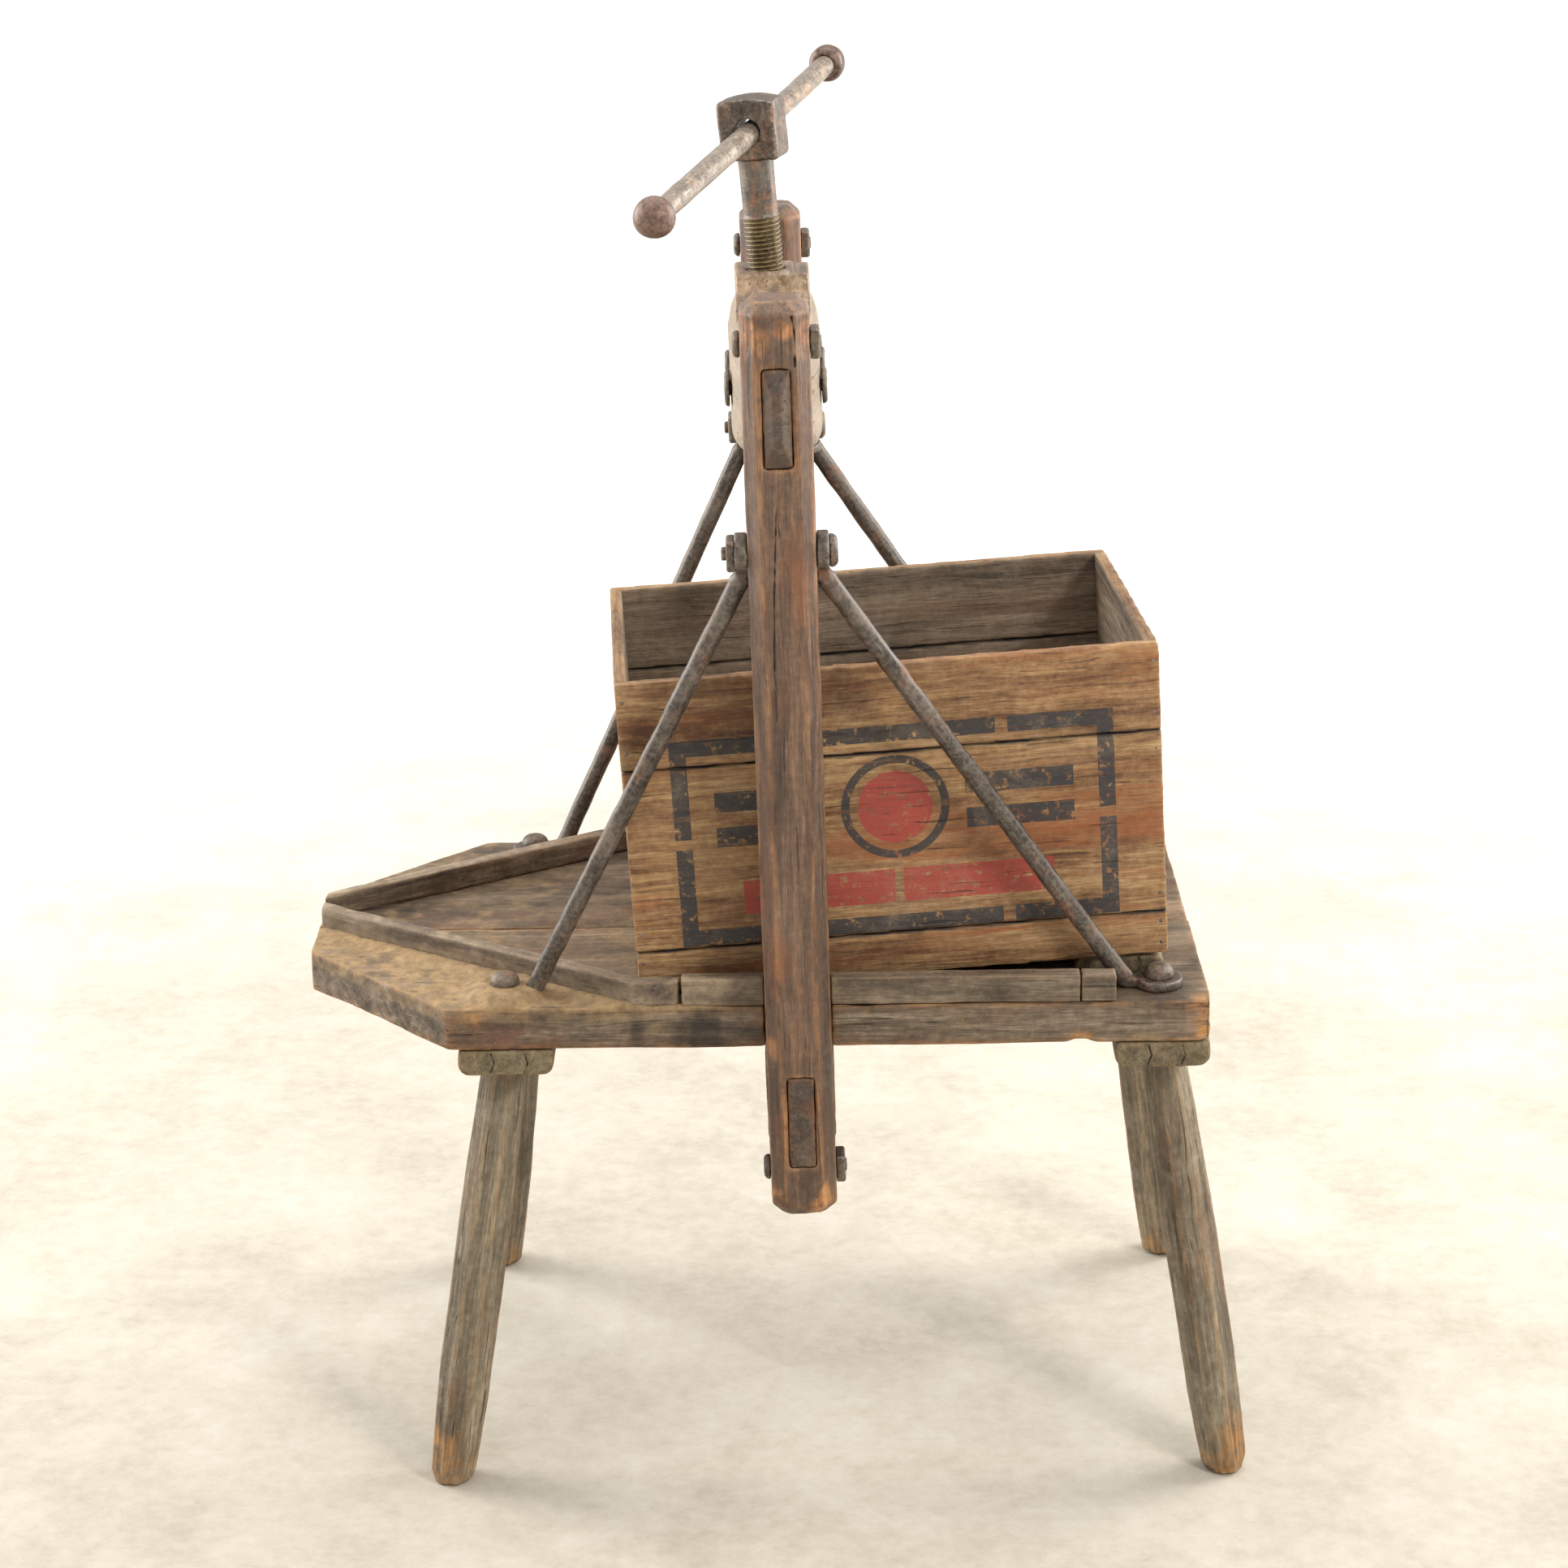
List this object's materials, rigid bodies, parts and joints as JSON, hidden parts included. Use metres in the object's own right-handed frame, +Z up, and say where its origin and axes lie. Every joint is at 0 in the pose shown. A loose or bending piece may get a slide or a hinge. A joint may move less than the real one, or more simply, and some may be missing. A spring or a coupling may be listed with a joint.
{
  "type": "apple cider press",
  "caption": "Old wooden cider press: a plank bed on splayed legs, a gallows frame with an iron screw and tommy bar, and a board crate on the bed.",
  "frame": {"origin": "on the floor under the middle of the bounding box", "axes": "+Z up, +X from the spout end towards the square end of the bed, -Y the near side"},
  "size_m": [0.9356, 0.6313, 1.3598],
  "materials": {
    "bed_wood": "worn, dusty and stained grey-brown",
    "batten_wood": "worn dark brown",
    "leg_wood": "hewn, worn at the feet",
    "rail_wood": "worn, dusty",
    "post_wood": "oiled oak with worn edges",
    "beam_wood": "oiled oak with worn edges",
    "brace_iron": "forged, brown rust",
    "bolt_iron": "forged, brown rust",
    "nut_iron": "cast, greasy",
    "screw_iron": "greasy turned iron with rust patches",
    "head_iron": "forged, dark brown",
    "bar_iron": "handled iron, brown",
    "crate_wood": "orange-brown pine boards",
    "nail_steel": "dull, lightly rusted"
  },
  "bodies": {
    "frame": {"bed_near_plank": "bed_wood", "bed_far_plank": "bed_wood", "left_batten": "batten_wood", "right_batten": "batten_wood", "crate_cleat": "batten_wood", "near_left_leg": "leg_wood", "near_right_leg": "leg_wood", "far_left_leg": "leg_wood", "far_right_leg": "leg_wood", "near_spout_rail": "rail_wood", "far_spout_rail": "rail_wood", "near_side_rail": "rail_wood", "far_side_rail": "rail_wood", "near_rail_block": "rail_wood", "far_rail_block": "rail_wood", "near_post": "post_wood", "far_post": "post_wood", "top_beam": "beam_wood", "lower_beam": "beam_wood", "near_left_brace": "brace_iron", "near_right_brace": "brace_iron", "far_left_brace": "brace_iron", "far_right_brace": "brace_iron", "cheek_bolts": "bolt_iron", "cheek_nuts": "bolt_iron", "brace_bolts": "bolt_iron", "brace_nuts": "bolt_iron", "beam_bolts": "bolt_iron", "beam_bolt_caps": "bolt_iron", "foot_bolts": "bolt_iron", "foot_nuts": "bolt_iron", "screw_nut": "nut_iron"},
    "shoe": {"press_shoe": "screw_iron", "shoe_keeper_pin": "screw_iron"},
    "screw": {"press_screw": "screw_iron", "screw_head": "head_iron"},
    "bar": {"tommy_bar": "bar_iron", "bar_ball_end": "bar_iron", "bar_button_end": "bar_iron"},
    "crate": {"crate_front_bottom": "crate_wood", "crate_front_middle": "crate_wood", "crate_front_top": "crate_wood", "crate_back_bottom": "crate_wood", "crate_back_middle": "crate_wood", "crate_back_top": "crate_wood", "crate_left_lower": "crate_wood", "crate_left_upper": "crate_wood", "crate_right_lower": "crate_wood", "crate_right_upper": "crate_wood", "crate_floor_1": "crate_wood", "crate_floor_2": "crate_wood", "crate_floor_3": "crate_wood", "crate_nails": "nail_steel"}
  },
  "joints": [
    {"name": "screw_travel", "type": "slide", "parent": "frame", "child": "shoe", "axis": [-0.0767, 0, 0.9971], "range_m": [-0.044, 0.06]},
    {"name": "screw_turn", "type": "hinge", "parent": "shoe", "child": "screw", "pos_m": [0.009, 0.0126, 1.09], "axis": [-0.0767, 0, 0.9971], "range_deg": [-3740, 5100]},
    {"name": "bar_slide", "type": "slide", "parent": "screw", "child": "bar", "axis": [0.2561, 0.9615, 0.1001], "range_m": [-0.245, 0.28]},
    {"name": "crate_slide", "type": "slide", "parent": "frame", "child": "crate", "axis": [0.9967, 0.0644, 0.0488], "range_m": [0, 0.6]}
  ],
  "couplings": [
    {"joint": "screw_travel", "follows": "screw_turn", "m_per_rad": 0.00067375}
  ]
}
